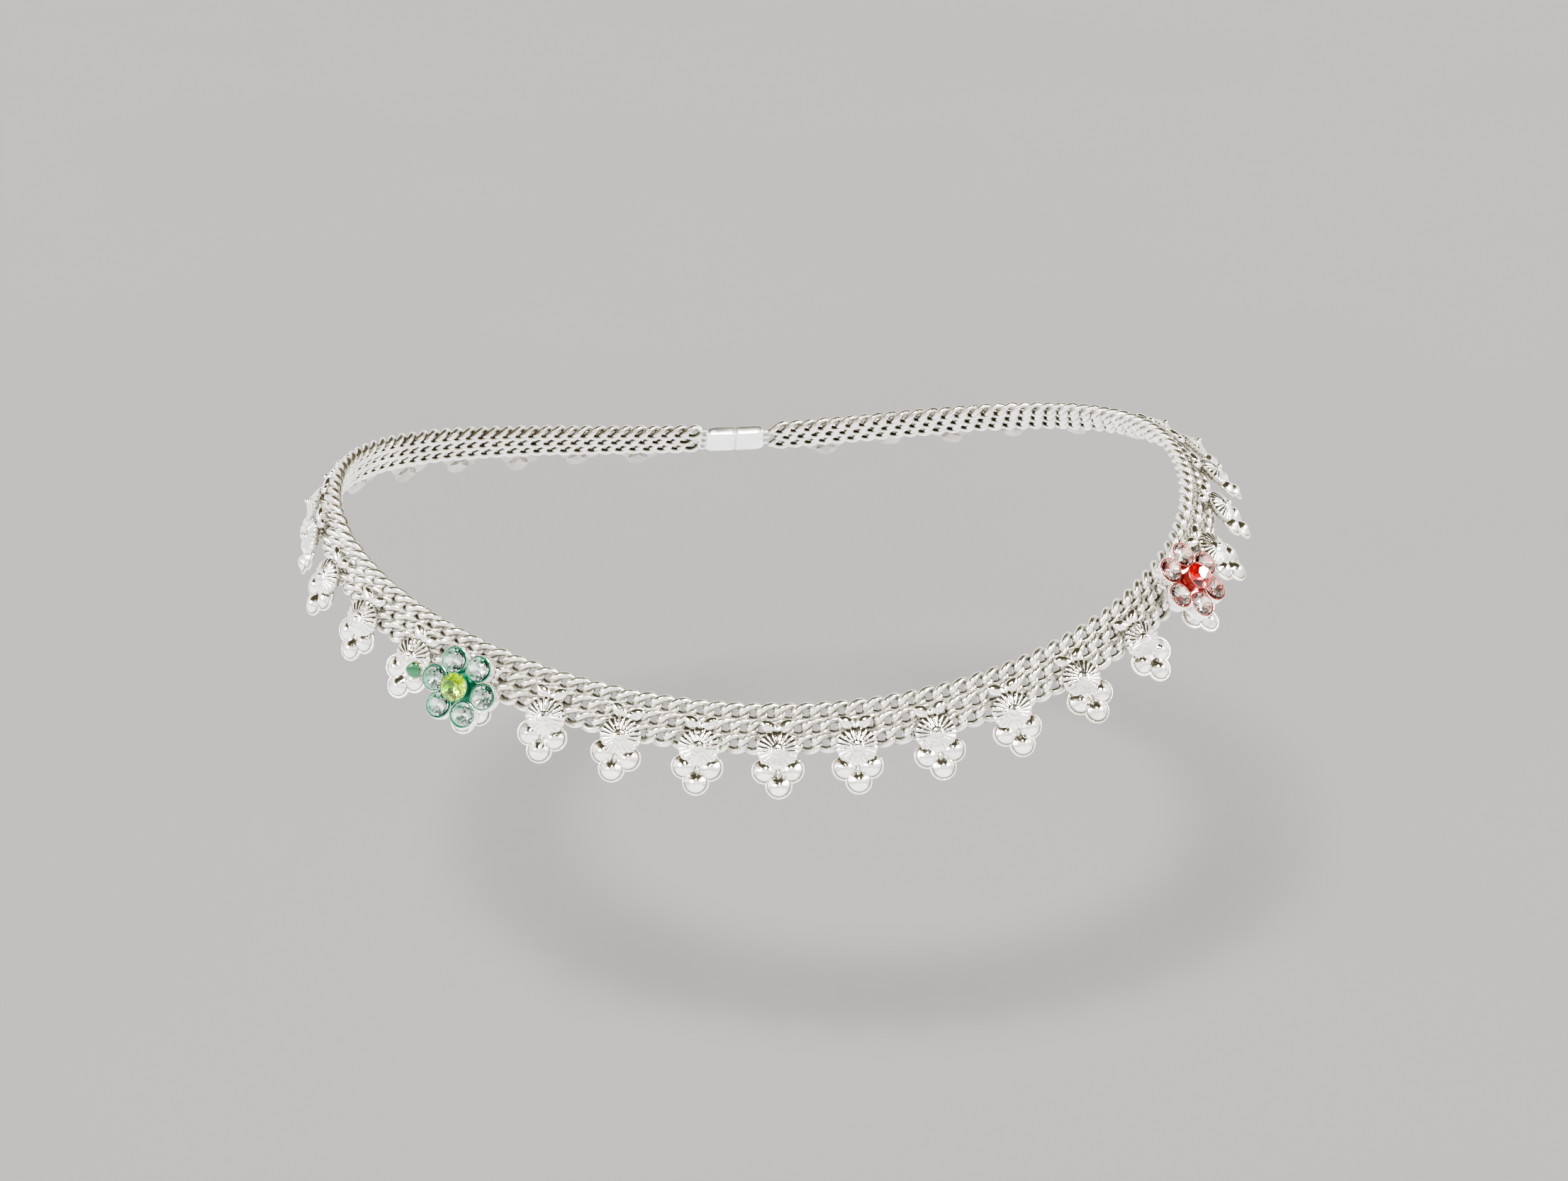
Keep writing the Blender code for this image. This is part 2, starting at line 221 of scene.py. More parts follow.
def measure_loop():
    """Turns and the lengths run from the heel to each of them."""
    turns = [-math.pi + 2 * math.pi * i / LOOP_SAMPLES for i in range(LOOP_SAMPLES + 1)]
    lengths = [0.0]
    for before, after in zip(turns, turns[1:]):
        lengths.append(lengths[-1] + (loop_point(after) - loop_point(before)).length)
    return turns, lengths


TURNS, LENGTHS = measure_loop()
LOOP_LENGTH = LENGTHS[-1]
PITCH = LOOP_LENGTH / PITCH_COUNT
MOTIF_SEAT = BAND_THICKNESS / 2 + GAP
CAP_DROP = BAND_HEIGHT - CAP_ABOVE_EDGE
FLOWER_SEAT = MOTIF_SEAT + CAP_RIM_HEIGHT + CAP_RISE + BOSS_RISE + GAP
PETAL_RING = (2 * PETAL_STONE_RADIUS + GAP) / (2 * math.sin(math.pi / PETAL_COUNT))


def turn_at(length):
    """Turn at a length along the loop."""
    wrapped = length % LOOP_LENGTH
    index = min(max(bisect_left(LENGTHS, wrapped), 1), LOOP_SAMPLES)
    before, after = LENGTHS[index - 1], LENGTHS[index]
    share = (wrapped - before) / (after - before)
    return TURNS[index - 1] + share * (TURNS[index] - TURNS[index - 1])


def band_frame(length):
    """Top-edge point and the directions along, up and out of the band's face."""
    turn = turn_at(length)
    step = 0.001
    along = (loop_point(turn + step) - loop_point(turn - step)).normalized()
    sideways = along.cross(Vector((0, 0, 1))).normalized()
    upright = sideways.cross(along).normalized()
    lean = lean_at(turn)
    up = upright * math.cos(lean) - sideways * math.sin(lean)
    out = along.cross(up)
    return loop_point(turn), along, up, out


def motif_length(number):
    """Length along the loop of a motif's middle."""
    return LOOP_LENGTH / 4 + PATTERN_SHIFT + (number - MOTIF_COUNT / 2) * PITCH


def clasp_middle():
    """Length along the loop of the clasp's middle."""
    return motif_length(0.5) - (PITCH_COUNT - MOTIF_COUNT) / 2 * PITCH


def seat_matrix(length, across, drop, height, spin=0.0):
    """Where a piece sits on the band: local X along, local Y up, local Z out of the face."""
    edge, along, up, out = band_frame(length)
    turned = Matrix((along, up, out)).transposed().to_4x4()
    turned = turned @ Matrix.Rotation(spin, 4, "Z")
    return Matrix.Translation(edge + along * across - up * drop + out * height) @ turned


class Form:
    """Points, faces and each point's share of tint and painted light, gathered for one mesh."""

    def __init__(self):
        self.points = []
        self.faces = []
        self.wear = []

    def add(self, points, faces, wear=0.0, matrix=None):
        """Add a shape, with its share of tint and painted light as one value or one a point."""
        start = len(self.points)
        if matrix is not None:
            points = moved(points, matrix)
        self.points.extend(points)
        self.faces.extend([tuple(i + start for i in face) for face in faces])
        if isinstance(wear, (int, float)):
            wear = [wear] * len(points)
        self.wear.extend(wear)

    def join(self, other, matrix):
        """Add another form, moved."""
        self.add(other.points, other.faces, other.wear, matrix)


def moved(points, matrix):
    """The points, moved by a matrix."""
    table = np.asarray(matrix)
    spots = np.asarray([tuple(point) for point in points])
    return [tuple(spot) for spot in spots @ table[:3, :3].T + table[:3, 3]]


def ring_shape(rings, top=None, bottom=None):
    """Stacked rings, from the top or middle outwards and down, with end points or open ends."""
    count = len(rings[0])
    points = [tuple(point) for ring in rings for point in ring]
    faces = []
    for row in range(len(rings) - 1):
        upper = row * count
        lower = upper + count
        for i in range(count):
            j = (i + 1) % count
            faces.append((upper + i, lower + i, lower + j, upper + j))
    if top is not None:
        faces.extend([(len(points), i, (i + 1) % count) for i in range(count)])
        points.append(tuple(top))
    if bottom is not None:
        last = (len(rings) - 1) * count
        faces.extend([(len(points), last + (i + 1) % count, last + i) for i in range(count)])
        points.append(tuple(bottom))
    return points, faces


def circle(radius, height, sides):
    """A ring of points."""
    ring = []
    for i in range(sides):
        angle = 2 * math.pi * i / sides
        ring.append((radius * math.cos(angle), radius * math.sin(angle), height))
    return ring


def lathe(profile, sides, closed=True):
    """A turned shape from (radius, height) rows in mm, with closed or open ends."""
    rings = [circle(radius * MM, height * MM, sides) for radius, height in profile]
    if not closed:
        return ring_shape(rings)
    return ring_shape(rings, (0.0, 0.0, profile[0][1] * MM), (0.0, 0.0, profile[-1][1] * MM))


def torus_shape(radius, wire, sides, wire_sides):
    """A thin ring lying flat, sizes in mm."""
    rings = []
    for k in range(wire_sides + 1):
        angle = 2 * math.pi * k / wire_sides
        reach = (radius - wire * math.cos(angle)) * MM
        rings.append(circle(reach, wire * math.sin(angle) * MM, sides))
    return ring_shape(rings)


# Materials


def tree_of(name):
    """A new material, its nodes, its links and its shader."""
    material = bpy.data.materials.new(name)
    material.use_nodes = True
    tree = material.node_tree
    return material, tree.nodes, tree.links, tree.nodes["Principled BSDF"]


def noise_node(nodes, links, scale, detail=3.0, roughness=0.55, distortion=0.0):
    """Noise over the object's own place."""
    place = nodes.new("ShaderNodeTexCoord")
    noise = nodes.new("ShaderNodeTexNoise")
    noise.inputs["Scale"].default_value = scale
    noise.inputs["Detail"].default_value = detail
    noise.inputs["Roughness"].default_value = roughness
    noise.inputs["Distortion"].default_value = distortion
    links.new(place.outputs["Object"], noise.inputs["Vector"])
    return noise.outputs["Fac"]


def range_node(nodes, links, value, low, high, to_low, to_high):
    """A value carried from one range to another."""
    node = nodes.new("ShaderNodeMapRange")
    node.inputs["From Min"].default_value = low
    node.inputs["From Max"].default_value = high
    node.inputs["To Min"].default_value = to_low
    node.inputs["To Max"].default_value = to_high
    links.new(value, node.inputs["Value"])
    return node.outputs["Result"]


def math_node(nodes, links, operation, first, second):
    """Two values, or a value and a number, combined."""
    node = nodes.new("ShaderNodeMath")
    node.operation = operation
    node.use_clamp = True
    links.new(first, node.inputs[0])
    if isinstance(second, (int, float)):
        node.inputs[1].default_value = second
    else:
        links.new(second, node.inputs[1])
    return node.outputs[0]


def mix_node(nodes, links, share, first, second):
    """Two colours mixed by a value."""
    node = nodes.new("ShaderNodeMix")
    node.data_type = "RGBA"
    links.new(share, node.inputs[0])
    for socket, colour in ((node.inputs[6], first), (node.inputs[7], second)):
        if isinstance(colour, tuple):
            socket.default_value = (*colour, 1.0)
        else:
            links.new(colour, socket)
    return node.outputs[2]


def bump_node(nodes, links, height, strength, distance, normal=None):
    """A bump from a height."""
    node = nodes.new("ShaderNodeBump")
    node.inputs["Strength"].default_value = strength
    node.inputs["Distance"].default_value = distance
    links.new(height, node.inputs["Height"])
    if normal is not None:
        links.new(normal, node.inputs["Normal"])
    return node.outputs["Normal"]


def wear_node(nodes):
    """The share of tint and painted light kept on the mesh's points."""
    node = nodes.new("ShaderNodeAttribute")
    node.attribute_name = "wear"
    return node.outputs["Fac"]


def silver(name, bright, mottle_and_painted_shade, low, high, grain, dents):
    """Polished silver with painted shade in its creases, where it is also rougher, and a random
    mottle, with fine grain and shallow dents.
    """
    material, nodes, links, shader = tree_of(name)
    clouds = noise_node(nodes, links, 420.0, detail=4.0)
    specks = noise_node(nodes, links, 7000.0, detail=2.0, roughness=0.7)
    ripples = noise_node(nodes, links, 1900.0, detail=2.0, roughness=0.5, distortion=0.3)
    tint_and_painted_light_share = wear_node(nodes)
    cloudy = range_node(nodes, links, clouds, 0.35, 0.75, 0.0, 0.22)
    # The mesh's painted shade and a random mottle darken the colour together
    share = math_node(nodes, links, "ADD", tint_and_painted_light_share, cloudy)
    links.new(mix_node(nodes, links, share, bright, mottle_and_painted_shade), shader.inputs["Base Color"])
    shader.inputs["Metallic"].default_value = 1.0
    rough = range_node(nodes, links, clouds, 0.3, 0.7, low, high)
    rough = math_node(nodes, links, "ADD", rough, math_node(nodes, links, "MULTIPLY", tint_and_painted_light_share, 0.18))
    links.new(rough, shader.inputs["Roughness"])
    normal = bump_node(nodes, links, ripples, dents, DENT_DEPTH)
    normal = bump_node(nodes, links, specks, grain, GRAIN_DEPTH, normal)
    links.new(normal, shader.inputs["Normal"])
    return material


def enamel(name, deep, light, edge):
    """Glassy enamel over metal: deep in the flats, light on the raised edges."""
    material, nodes, links, shader = tree_of(name)
    swirl = noise_node(nodes, links, 700.0, roughness=0.6, distortion=0.8)
    tint_and_painted_light_share = wear_node(nodes)
    share = range_node(nodes, links, swirl, 0.35, 0.7, 0.0, 1.0)
    depth = mix_node(nodes, links, share, deep, light)
    links.new(mix_node(nodes, links, tint_and_painted_light_share, depth, edge), shader.inputs["Base Color"])
    shader.inputs["Metallic"].default_value = 0.45
    links.new(range_node(nodes, links, swirl, 0.3, 0.7, 0.18, 0.34), shader.inputs["Roughness"])
    shader.inputs["Coat Weight"].default_value = 1.0
    shader.inputs["Coat Roughness"].default_value = 0.04
    shader.inputs["Coat IOR"].default_value = 1.55
    normal = bump_node(nodes, links, swirl, 0.35, ENAMEL_RIPPLE)
    links.new(normal, shader.inputs["Normal"])
    return material


def gem(name, colour, pale, index):
    """Clear or coloured cut glass with a faint cloud in it."""
    material, nodes, links, shader = tree_of(name)
    cloud = noise_node(nodes, links, 900.0, detail=2.0)
    share = range_node(nodes, links, cloud, 0.3, 0.7, 0.0, 1.0)
    tint = mix_node(nodes, links, share, colour, pale)
    links.new(tint, shader.inputs["Base Color"])
    links.new(range_node(nodes, links, cloud, 0.3, 0.7, 0.0, 0.02), shader.inputs["Roughness"])
    shader.inputs["Metallic"].default_value = 0.0
    shader.inputs["Transmission Weight"].default_value = 1.0
    shader.inputs["IOR"].default_value = index
    return material


def foil(name, bright, tint):
    """Mirror foil under a stone, tinted as a painted reflection where its mesh marks it, such as
    towards a petal stone's outer side.
    """
    material, nodes, links, shader = tree_of(name)
    grain = noise_node(nodes, links, 2600.0, detail=2.0)
    tint_and_painted_light_share = wear_node(nodes)
    grainy = range_node(nodes, links, grain, 0.4, 0.8, 0.0, 0.15)
    share = math_node(nodes, links, "ADD", tint_and_painted_light_share, grainy)
    links.new(mix_node(nodes, links, share, bright, tint), shader.inputs["Base Color"])
    shader.inputs["Metallic"].default_value = 1.0
    links.new(range_node(nodes, links, grain, 0.3, 0.7, 0.04, 0.1), shader.inputs["Roughness"])
    return material


def plain_floor(name):
    """Pale matte floor with a faint mottle."""
    material, nodes, links, shader = tree_of(name)
    mottle = noise_node(nodes, links, 9.0)
    tone = mix_node(nodes, links, mottle, (0.40, 0.40, 0.407), (0.43, 0.43, 0.435))
    links.new(tone, shader.inputs["Base Color"])
    shader.inputs["Roughness"].default_value = 0.7
    shader.inputs["Specular IOR Level"].default_value = 0.2
    return material


# The darker colour of each silver is painted shade in the creases and hollows, the clasp's dark
# seam and a random mottle
STAMPED = silver(
    "stamped_silver",
    bright=(0.98, 0.97, 0.93),
    mottle_and_painted_shade=(0.15, 0.12, 0.07),
    low=0.08,
    high=0.18,
    grain=0.40,
    dents=0.38,
)
WIRE = silver(
    "wire_silver",
    bright=(0.98, 0.965, 0.90),
    mottle_and_painted_shade=(0.085, 0.07, 0.04),
    low=0.20,
    high=0.30,
    grain=0.35,
    dents=0.35,
)
CLASP = silver(
    "clasp_silver_brushed",
    bright=(0.92, 0.91, 0.89),
    mottle_and_painted_shade=(0.40, 0.37, 0.33),
    low=0.30,
    high=0.42,
    grain=0.45,
    dents=0.15,
)
GREEN = enamel(
    "emerald_enamel",
    deep=(0.0, 0.15, 0.07),
    light=(0.0, 0.27, 0.13),
    edge=(0.10, 0.52, 0.32),
)
RED = enamel(
    "rose_enamel",
    deep=(0.40, 0.03, 0.03),
    light=(0.52, 0.09, 0.07),
    edge=(0.60, 0.16, 0.12),
)
PAINT = enamel(
    "paint_enamel",
    deep=(0.0, 0.13, 0.03),
    light=(0.0, 0.21, 0.06),
    edge=(0.42, 0.34, 0.20),
)
CLEAR = gem("clear_glass", colour=(0.98, 0.99, 0.985), pale=(0.93, 0.96, 0.95), index=1.58)
PERIDOT = gem("peridot_glass", colour=(0.36, 0.64, 0.0), pale=(0.54, 0.80, 0.01), index=1.62)
RUBY = gem("ruby_glass", colour=(0.85, 0.0, 0.008), pale=(0.95, 0.02, 0.02), index=1.62)
# Each foil's tint is a painted reflection: the enamel towards a clear stone's outer side, and
# darker facets under a coloured stone; the rose foil is pink all over as a painted reflection of
# the enamel
GREEN_FOIL = foil("foil_with_painted_green_reflection", bright=(0.93, 0.98, 0.95), tint=(0.02, 0.40, 0.20))
RED_FOIL = foil("foil_with_painted_rose_reflection", bright=(0.98, 0.74, 0.66), tint=(0.60, 0.10, 0.07))
LIME_FOIL = foil("lime_backed_foil", bright=(0.85, 0.98, 0.25), tint=(0.06, 0.34, 0.02))
RUBY_FOIL = foil("ruby_backed_foil", bright=(0.98, 0.18, 0.14), tint=(0.42, 0.0, 0.0))


def make_piece(name, form, material, replaced=(), sharp=None):
    """An object of a form that rides on the one body."""
    mesh = bpy.data.meshes.new(name)
    mesh.from_pydata(form.points, [], form.faces)
    # Each point's share of tint and painted light: painted shade in the silver's creases and
    # hollows, painted reflection on the foils, and real tint on the enamel's edges, the dot's rim
    # and the clasp's seam
    wear = mesh.attributes.new("wear", "FLOAT", "POINT")
    wear.data.foreach_set("value", np.asarray(form.wear, dtype=np.float32))
    mesh.materials.append(material)
    if sharp is None:
        mesh.shade_flat()
    else:
        mesh.shade_smooth()
        mesh.set_sharp_from_angle(angle=math.radians(sharp))
    item = bpy.data.objects.new(name, mesh)
    bpy.context.scene.collection.objects.link(item)
    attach(item, "root")
    if replaced:
        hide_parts(*replaced)


# Chain


def link_form():
    """One twisted link: its wire runs round an oval whose ends turn out of the plane."""
    spine = []
    for i in range(LINK_SEGMENTS):
        angle = 2 * math.pi * i / LINK_SEGMENTS
        twist = LINK_TWIST * math.cos(angle)
        x = LINK_REACH * math.cos(angle)
        y = LINK_HALF_WIDTH * math.sin(angle) * math.cos(twist)
        z = LINK_HALF_WIDTH * math.sin(angle) * math.sin(twist)
        spine.append(Vector((x, y, z)))
    lean = Matrix.Rotation(LINK_TILT, 3, "Y") @ Matrix.Rotation(LINK_ROLL, 3, "X")
    spine = [lean @ spot for spot in spine]
    rings = []
    wear = []
    for i, spot in enumerate(spine):
        ahead = (spine[(i + 1) % LINK_SEGMENTS] - spine[i - 1]).normalized()
        outward = (spot - ahead * spot.dot(ahead)).normalized()
        side = ahead.cross(outward)
        ring = []
        for k in range(LINK_SIDES):
            angle = 2 * math.pi * k / LINK_SIDES
            offset = outward * math.cos(angle) + side * math.sin(angle)
            point = spot + offset * LINK_WIRE / 2
            ring.append(tuple(point))
            # Painted shade: dark low down and inside the hole, but bright again at the back
            depth = clamp((LINK_SHADE_TOP - point.z) / LINK_SHADE_FADE)
            inner = clamp(-math.cos(angle) * 1.2)
            behind = clamp((-offset.z - 0.35) / 0.4)
            wear.append(clamp(0.9 * depth + 0.75 * inner) * (1 - 0.85 * behind))
        rings.append(ring)
    # The last ring is the first one again, so its points are dropped and the faces wrap round
    points, faces = ring_shape(rings + [rings[0]])
    count = LINK_SEGMENTS * LINK_SIDES
    points = points[:count]
    faces = [tuple(i % count for i in face) for face in faces]
    form = Form()
    form.add(points, faces, wear)
    return form


def chain_row(number, link, rng):
    """One row of links along the open length of the loop."""
    start = clasp_middle() + CLASP_LENGTH / 2 + GAP
    length = LOOP_LENGTH - CLASP_LENGTH - 2 * GAP
    count = round(length / LINK_PITCH)
    shift = 0.5 if number == 2 else 0.0
    drop = BAND_HEIGHT / 2 + (number - 2) * ROW_STEP
    form = Form()
    for i in range(count - (1 if shift else 0)):
        spot = start + (i + 0.5 + shift) * length / count
        height = LINK_HEIGHT + rng.uniform(-STRAY_OUT, STRAY_OUT) * MM
        low = drop + rng.uniform(-STRAY_DROP, STRAY_DROP) * MM
        matrix = seat_matrix(spot, 0.0, low, height)
        matrix = matrix @ Matrix.Rotation(math.radians(rng.gauss(0.0, STRAY_SPIN)), 4, "Z")
        matrix = matrix @ Matrix.Rotation(math.radians(rng.gauss(0.0, STRAY_ROLL)), 4, "X")
        form.join(link, matrix)
    return form


def make_chain():
    """Three interlaced rows."""
    rng = random.Random(11)
    link = link_form()
    for number in (1, 2, 3):
        form = chain_row(number, link, rng)
        name = "chain_row_" + str(number)
        make_piece(name, form, WIRE, ["chain_band"], sharp=60.0)


# Clasp


def make_clasp():
    """A plain box clasp with a tongue seam and a small ring to each row at both ends."""
    form = Form()
    middle = clasp_middle()
    rings = []
    wear = []
    for i in range(CLASP_STATIONS + 1):
        share = i / CLASP_STATIONS
        end = min(share, 1 - share) * CLASP_STATIONS
        ease = math.sqrt(max(1 - (1 - min(end / CLASP_EASE_STATIONS, 1.0)) ** 2, 0.0))
        seam = CLASP_SEAM if abs(share - 0.5) < CLASP_SEAM_SHARE else 1.0
        length = middle + (share - 0.5) * (CLASP_LENGTH - CLASP_ENDS)
        edge, _, up, out = band_frame(length)
        ring = []
        for k in range(CLASP_SIDES):
            angle = 2 * math.pi * k / CLASP_SIDES
            wide = abs(math.cos(angle)) ** 0.3 * math.copysign(1, math.cos(angle))
            thick = abs(math.sin(angle)) ** 0.5 * math.copysign(1, math.sin(angle))
            rise = wide * CLASP_HALF_HEIGHT * (0.86 + 0.14 * ease) * seam
            height = thick * CLASP_HALF_DEPTH * (0.35 + 0.65 * ease) * seam
            ring.append(tuple(edge - up * (BAND_HEIGHT / 2 - rise) + out * height))
            wear.append(0.5 if seam < 1 else 0.0)
        rings.append(ring)
    points, faces = ring_shape(rings)
    faces.append(tuple(range(CLASP_SIDES)))
    faces.append(tuple(len(points) - 1 - i for i in range(CLASP_SIDES)))
    form.add(points, faces, wear)
    loop, loop_faces = torus_shape(radius=0.5, wire=0.19, sides=20, wire_sides=8)
    for side in (-1, 1):
        for row in (-1, 0, 1):
            drop = BAND_HEIGHT / 2 + row * CLASP_RING_STEP
            spot = middle + side * (CLASP_LENGTH / 2 - CLASP_RING_INSET)
            turned = Matrix.Rotation(side * CLASP_RING_TURN, 4, "X")
            form.add(loop, loop_faces, 0.1, seat_matrix(spot, 0.0, drop, 0.0) @ turned)
    make_piece("clasp_box", form, CLASP, ["clasp"], sharp=40.0)


# Motif


def cap_shape(rng):
    """The fluted cap: ridges that run from a boss set low on it to a scalloped rim."""
    top = CAP_RIM_HEIGHT + CAP_RISE
    depth = FLUTE_DEPTH * rng.uniform(0.85, 1.15)
    phase = rng.uniform(-0.15, 0.15)
    rings = []
    wear = []
    for spread, level in [(share, None) for share in CAP_ROWS] + list(CAP_SKIRT):
        ring = []
        for i in range(CAP_SIDES):
            angle = 2 * math.pi * i / CAP_SIDES
            upper = 0.5 + 0.5 * math.sin(angle)
            ridge = abs(math.sin(CAP_FLUTES * angle / 2 + phase)) ** 0.8
            valley = 1 - ridge
            reach = CAP_RADIUS * (1 - CAP_RIM_NOTCH * valley)
            height = level
            if level is None:
                # The flutes deepen outwards, more on the cap's upper side
                strength = clamp((spread - 0.26) / 0.3) * (0.35 + 0.85 * upper)
                height = CAP_RIM_HEIGHT + CAP_RISE * (1 - spread ** 1.15)
                height -= depth * valley * strength
                height -= CAP_RIM_BEND * max(spread - 0.9, 0.0)
            centre = -CAP_APEX_DROP * (1 - spread)
            x = reach * spread * math.cos(angle)
            y = centre + reach * spread * math.sin(angle) * CAP_SQUASH
            ring.append((x, y, height))
            # Painted shade: dark in the flute valleys, more on the cap's upper side, a little on
            # the middle and rim rows, and dark on the skirt under the rim
            painted_valley_and_rim_shade = valley ** 2 * (0.35 + 0.30 * upper) if 0.3 < spread < 1.0 else 0.1
            wear.append(painted_valley_and_rim_shade if level is None else 0.75)
        rings.append(ring)
    points, faces = ring_shape(rings, (0.0, -CAP_APEX_DROP, top), (0.0, 0.0, 0.0))
    return points, faces, wear + [0.0, 0.0]


def dome_shape(rng):
    """A dome on a flange with a thin raised lip, sizes in mm."""
    rise = DOME_RISE * rng.uniform(0.94, 1.06)
    profile = []
    for k in range(1, DOME_ROWS + 1):
        height = DOME_EDGE + rise * math.cos(math.pi / 2 * k / DOME_ROWS) ** 1.15
        profile.append((DOME_REACH * k / DOME_ROWS, height))
    profile += [(1.22, 0.29), (1.30, 0.30), (1.36, 0.25), (1.38, 0.08), (1.35, 0.0)]
    points, faces = lathe(profile, DOME_SIDES)
    # Painted shade: dark in the groove round the dome's foot and along the flange's bottom edge
    wear = []
    for point in points:
        reach = math.hypot(point[0], point[1]) / MM
        if point[2] < 0.15 * MM:
            wear.append(0.6)
        elif 1.0 < reach < 1.20:
            wear.append(1.0 if reach > 1.1 else 0.45)
        else:
            wear.append(0.0)
    # The end point before the last is the dome's crown
    points[-2] = (0.0, 0.0, (DOME_EDGE + rise) * MM)
    return points, faces, wear


def leaf_shape():
    """A small smooth leaf above the cap."""
    rings = []
    for k in range(1, LEAF_ROWS + 1):
        angle = math.pi / 2 * k / LEAF_ROWS
        spread = math.sin(angle)
        height = (LEAF_EDGE + LEAF_RISE * math.cos(angle)) * MM
        ring = []
        for i in range(LEAF_SIDES):
            turn = 2 * math.pi * i / LEAF_SIDES
            pinch = 1 - 0.25 * max(math.cos(turn), 0.0) ** 3
            x = LEAF_HALF_LENGTH * spread * math.cos(turn)
            y = LEAF_HALF_WIDTH * spread * pinch * math.sin(turn)
            ring.append((x, y, height))
        rings.append(ring)
    rings.append([(x * 0.97, y * 0.97, 0.0) for x, y, _ in rings[-1]])
    return ring_shape(rings, (0.0, 0.0, (LEAF_EDGE + LEAF_RISE) * MM), (0.0, 0.0, 0.0))


def motif_form(rng):
    """The whole stamping about its cap's middle, its back at Z 0 and its posts below."""
    form = Form()
    form.add(*cap_shape(rng))
    top = (CAP_RIM_HEIGHT + CAP_RISE) / MM
    spot = Matrix.Translation((0.0, -CAP_APEX_DROP, 0.0))
    boss = [(0.10, top + 0.33), (0.20, top + 0.29), (0.28, top + 0.18)]
    boss += [(0.31, top), (0.32, top - 0.2)]
    points, faces = lathe(boss, 24)
    form.add(points, faces, 0.0, spot)
    collar = [(0.30, top - 0.02), (0.56, top - 0.10), (0.70, top - 0.15)]
    collar += [(0.76, top - 0.24), (0.76, top - 0.4)]
    points, faces = lathe(collar, 36)
    form.add(points, faces, 0.05, spot)
    spread = LOBE_RADIUS * PAIR_SPREAD
    pair = -(CAP_RADIUS - LOBE_RADIUS * PAIR_TUCK)
    tip = pair - LOBE_RADIUS * TIP_STEP
    for x, y in ((-spread, pair), (spread, pair), (0.0, tip)):
        points, faces, wear = dome_shape(rng)
        across = x + rng.uniform(-0.05, 0.05) * MM
        along = y + rng.uniform(-0.04, 0.04) * MM
        form.add(points, faces, wear, Matrix.Translation((across, along, 0.0)))
    for side in (-1, 1):
        points, faces = leaf_shape()
        shift = Matrix.Translation((side * LEAF_ACROSS, CAP_RADIUS + LEAF_ABOVE_CAP, 0.0))
        turned = Matrix.Rotation(side * LEAF_TURN, 4, "Z")
        if side < 0:
            turned = turned @ Matrix.Rotation(math.pi, 4, "Z")
        form.add(points, faces, 0.0, shift @ turned)
    post = [(0.42, 0.1), (0.40, -0.25), (0.52, -0.62)]
    for side in (-1, 1):
        points, faces = lathe(post, 14)
        shift = Matrix.Translation((side * POST_REACH, POST_REACH, 0.0))
        form.add(points, faces, 0.5, shift)
    return form


def make_motifs():
    """A stamping in the place of each motif, each a little unlike the next."""
    rng = random.Random(5)
    for number in range(1, MOTIF_COUNT + 1):
        label = "motif_" + str(number).zfill(2)
        form = motif_form(rng)
        matrix = seat_matrix(motif_length(number), 0.0, CAP_DROP, MOTIF_SEAT)
        tilt_angle = math.radians(min(max(rng.gauss(0.0, 3.0), -4.0), 4.0))
        tilt = Matrix.Rotation(tilt_angle, 4, "X")
        roll = Matrix.Rotation(math.radians(rng.gauss(0.0, 3.0)), 4, "Z")
        placed = Form()
        placed.join(form, matrix @ roll @ tilt)
        name = label + "_stamping"
        make_piece(name, placed, STAMPED, [label], sharp=50.0)


# Flowers


def brilliant(radius, girdle, crown, pavilion, table=0.56):
    """A round brilliant, sizes in mm: eight-sided table, kites, stars, girdle and pavilion.

    It gives the points, all faces and the pavilion's faces alone.
    """
    band = 0.05 * radius
    upper = girdle + band
    top = upper + crown
    slope = crown / (1 - table)
    mid = 0.80
    mid_height = top - slope * (mid * math.cos(math.pi / 8) - table)
    deep = girdle - pavilion
    low = 0.30
    low_height = deep + pavilion * low * math.cos(math.pi / 8)
    points = []

    def ring(share, height, count, start):
        first = len(points)
        for i in range(count):
            angle = start + 2 * math.pi * i / count
            x = radius * share * math.cos(angle)
            y = radius * share * math.sin(angle)
            points.append((x * MM, y * MM, height * MM))
        return first

    flat = ring(table, top, 8, 0.0)
    star = ring(mid, mid_height, 8, math.pi / 8)
    rim = ring(1.0, upper, 16, 0.0)
    belt = ring(1.0, girdle, 16, 0.0)
    heart = ring(low, low_height, 8, math.pi / 8)
    culet = len(points)
    points.append((0.0, 0.0, deep * MM))
    faces = [tuple(flat + i for i in range(8))]
    for k in range(8):
        ahead = (k + 1) % 8
        behind = (k - 1) % 8
        faces.append((flat + k, star + k, flat + ahead))
        faces.append((flat + k, star + behind, rim + 2 * k, star + k))
        faces.append((star + k, rim + 2 * k, rim + 2 * k + 1))
        faces.append((star + k, rim + 2 * k + 1, rim + (2 * k + 2) % 16))
    for i in range(16):
        j = (i + 1) % 16
        faces.append((rim + i, belt + i, belt + j, rim + j))
    crown_end = len(faces)
    for k in range(8):
        behind = (k - 1) % 8
        faces.append((culet, heart + k, belt + 2 * k, heart + behind))
        faces.append((heart + k, belt + 2 * k + 1, belt + 2 * k))
        faces.append((heart + k, belt + (2 * k + 2) % 16, belt + 2 * k + 1))
    return points, faces, faces[crown_end:]


